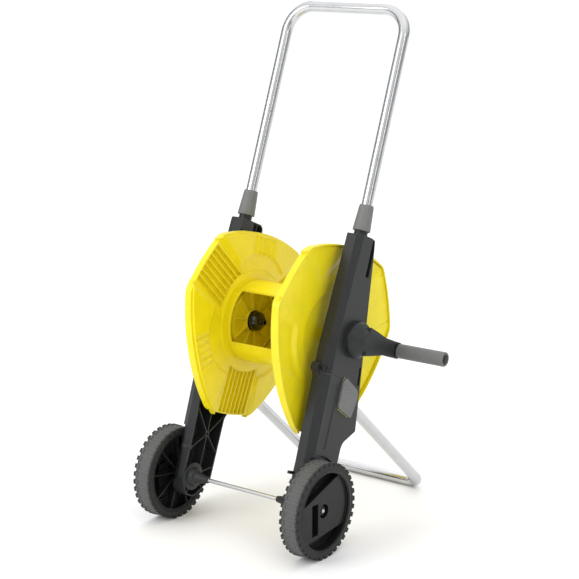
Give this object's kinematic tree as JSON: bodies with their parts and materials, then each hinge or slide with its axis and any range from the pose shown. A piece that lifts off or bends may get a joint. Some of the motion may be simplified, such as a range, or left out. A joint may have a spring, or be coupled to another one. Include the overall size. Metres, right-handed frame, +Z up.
{
  "type": "garden hose reel cart",
  "caption": "Two-wheeled hose reel cart: leaning legs carry a lobed drum with a folding crank, a telescopic push handle and a bent tube stand.",
  "frame": {"origin": "on the floor, below the middle of the wheel axle", "axes": "+X along the axles towards the crank, +Y from the wheels to the stand, +Z up"},
  "size_m": [0.4359, 0.4641, 0.882],
  "materials": {
    "black_plastic": "fine moulded grain",
    "grey_plastic": "fine moulded grain",
    "yellow_plastic": "satin moulding",
    "bright_tube": "polished and clear anodised",
    "zinc_steel": "zinc plated",
    "tyre_rubber": "hard soft-touch tread",
    "seal_rubber": "moulded"
  },
  "bodies": {
    "frame": {"upper_leg_left": "black_plastic", "upper_leg_right": "black_plastic", "lower_leg_left": "black_plastic", "lower_leg_right": "black_plastic", "leg_screws": "zinc_steel", "collet_left": "black_plastic", "collet_right": "black_plastic", "stand_tube": "bright_tube", "catch_pins": "zinc_steel", "wheel_axle": "zinc_steel", "axle_caps": "zinc_steel", "axle_ring_left": "seal_rubber", "axle_ring_right": "seal_rubber", "drum_bush_left": "black_plastic", "drum_bush_right": "black_plastic"},
    "push_handle": {"handle_tube": "bright_tube", "handle_plugs": "black_plastic"},
    "clamp_left": {"clamp_collar_left": "grey_plastic"},
    "clamp_right": {"clamp_collar_right": "grey_plastic"},
    "catch_left": {"stand_catch_left": "grey_plastic"},
    "catch_right": {"stand_catch_right": "grey_plastic"},
    "drum": {"flange_left": "yellow_plastic", "flange_right": "yellow_plastic", "barrel": "yellow_plastic", "inlet_shaft": "black_plastic", "shaft_seals": "seal_rubber", "hose_connector": "black_plastic", "drive_shaft": "black_plastic", "crank_arm": "black_plastic", "crank_cap": "black_plastic", "crank_screw": "zinc_steel", "fold_pin": "zinc_steel"},
    "grip_fold": {"grip_spindle": "black_plastic", "grip_ring": "zinc_steel"},
    "grip": {"crank_grip": "grey_plastic"},
    "wheel_left": {"wheel_left": "black_plastic", "tyre_left": "tyre_rubber"},
    "wheel_right": {"wheel_right": "black_plastic", "tyre_right": "tyre_rubber"},
    "water_inlet": {"inlet_elbow": "black_plastic", "inlet_clip": "zinc_steel"}
  },
  "joints": [
    {"name": "handle_slide", "type": "slide", "parent": "frame", "child": "push_handle", "axis": [0, 0.3584, 0.9336], "range_m": [-0.25, 0]},
    {"name": "collar_left_turn", "type": "hinge", "parent": "frame", "child": "clamp_left", "pos_m": [-0.1227, 0.16933, 0.51472], "axis": [0, 0.3584, 0.9336], "range_deg": [0, 90]},
    {"name": "collar_right_turn", "type": "hinge", "parent": "frame", "child": "clamp_right", "pos_m": [0.1227, 0.16933, 0.51472], "axis": [0, 0.3584, 0.9336], "range_deg": [0, 90]},
    {"name": "catch_left_rock", "type": "hinge", "parent": "frame", "child": "catch_left", "pos_m": [-0.1372, 0.11069, 0.24377], "axis": [0, -0.6653, -0.7466], "range_deg": [-8, 0], "stiffness_Nm_per_rad": 0.4},
    {"name": "catch_right_rock", "type": "hinge", "parent": "frame", "child": "catch_right", "pos_m": [0.1372, 0.11069, 0.24377], "axis": [0, -0.6653, -0.7466], "range_deg": [0, 8], "stiffness_Nm_per_rad": 0.4},
    {"name": "drum_spin", "type": "hinge", "parent": "frame", "child": "drum", "pos_m": [0, 0.12845, 0.3389], "axis": [1, 0, 0], "continuous": true},
    {"name": "grip_fold", "type": "hinge", "parent": "drum", "child": "grip_fold", "pos_m": [0.159, 0.22088, 0.30342], "axis": [0, 0.3584, 0.9336], "range_deg": [0, 90]},
    {"name": "grip_spin", "type": "hinge", "parent": "grip_fold", "child": "grip", "pos_m": [0.1685, 0.22088, 0.30342], "axis": [1, 0, 0], "continuous": true},
    {"name": "wheel_left_spin", "type": "hinge", "parent": "frame", "child": "wheel_left", "pos_m": [-0.155, 0, 0.081], "axis": [1, 0, 0], "continuous": true},
    {"name": "wheel_right_spin", "type": "hinge", "parent": "frame", "child": "wheel_right", "pos_m": [0.155, 0, 0.081], "axis": [1, 0, 0], "continuous": true},
    {"name": "inlet_swivel", "type": "hinge", "parent": "frame", "child": "water_inlet", "pos_m": [-0.158, 0.12845, 0.3389], "axis": [1, 0, 0], "continuous": true}
  ]
}
